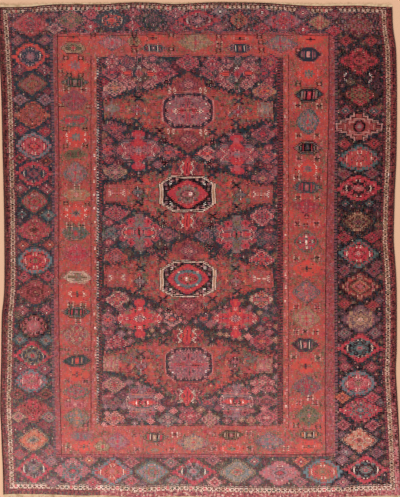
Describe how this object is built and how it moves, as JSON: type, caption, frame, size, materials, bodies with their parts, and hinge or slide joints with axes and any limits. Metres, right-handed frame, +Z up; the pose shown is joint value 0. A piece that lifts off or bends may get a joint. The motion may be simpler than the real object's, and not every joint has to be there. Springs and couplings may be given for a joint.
{
  "type": "soumak rug",
  "caption": "Flat-woven wool soumak rug with a medallion field, patterned borders, overcast sides and undyed end strips, lying flat.",
  "frame": {"origin": "under the middle of the whole rug, on the floor that it lies on", "axes": "+X across the rug to the right, +Y along the rug towards its top end as pictured, +Z up out of the patterned face"},
  "size_m": [2.5, 3.0678, 0.0055],
  "materials": {
    "soumak_wool": "wrapped wool weave, dyed, matt and a little worn",
    "binding_wool": "overcast dark wool cord, matt",
    "undyed_warp": "undyed wool warp, matt"
  },
  "bodies": {
    "root": {"rug_cloth": "soumak_wool", "binding_left": "binding_wool", "binding_right": "binding_wool", "end_strip_top": "undyed_warp", "end_strip_bottom": "undyed_warp"}
  },
  "joints": []
}
